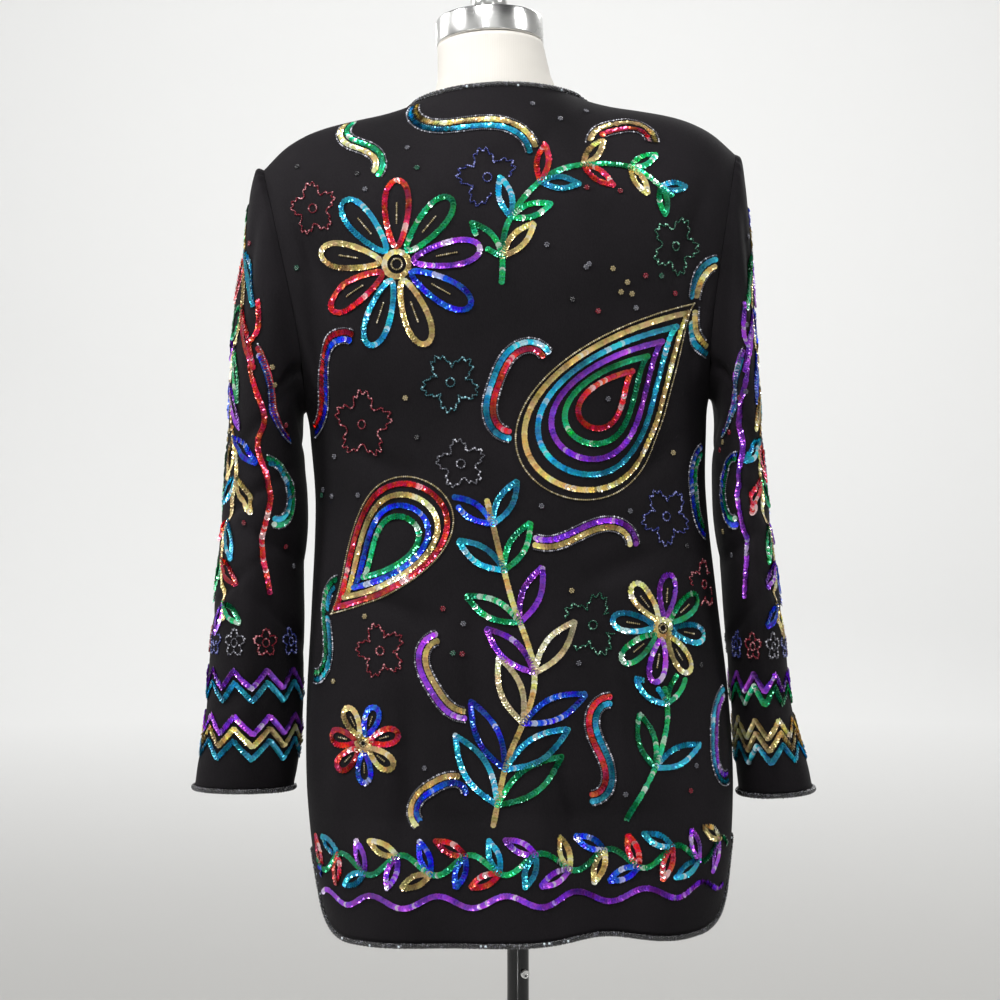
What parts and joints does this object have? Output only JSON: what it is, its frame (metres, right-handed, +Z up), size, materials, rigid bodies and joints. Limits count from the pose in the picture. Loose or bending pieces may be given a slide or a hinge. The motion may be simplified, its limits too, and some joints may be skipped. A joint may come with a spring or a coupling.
{
  "type": "sequin jacket on a dress form",
  "caption": "Long-line round-necked black evening jacket with sequin and bead decoration, shown on a limbless dress form with a round-based stand.",
  "frame": {"origin": "centre of the round base's underside, on the floor, with the pole on the Z axis", "axes": "+Z up, the jacket's front towards -Y, its left sleeve towards +X"},
  "size_m": [0.6033, 0.33, 1.4847],
  "materials": {
    "crepe": "matte black crepe with a fine grain",
    "bead_edging": "rope of small glossy black glass beads",
    "sequins": "cupped sequins with a metallic iridescent coat, in gold, turquoise, blue, green, red and purple",
    "jersey": "off-white cotton jersey stretched over the form",
    "chrome": "bright chrome plate",
    "enamel": "gloss black stove enamel"
  },
  "bodies": {
    "root": {"back": "crepe", "front_left": "crepe", "front_right": "crepe", "sleeve_left": "crepe", "sleeve_right": "crepe", "neck_edging": "bead_edging", "edging_back": "bead_edging", "edging_front_left": "bead_edging", "edging_front_right": "bead_edging", "cuff_edging_left": "bead_edging", "cuff_edging_right": "bead_edging", "form_torso": "jersey", "neck_cap": "chrome", "cap_knob": "chrome", "hanger_plate": "enamel", "pole": "enamel", "pole_screw": "chrome", "pole_socket": "enamel", "base": "enamel"}
  },
  "joints": []
}
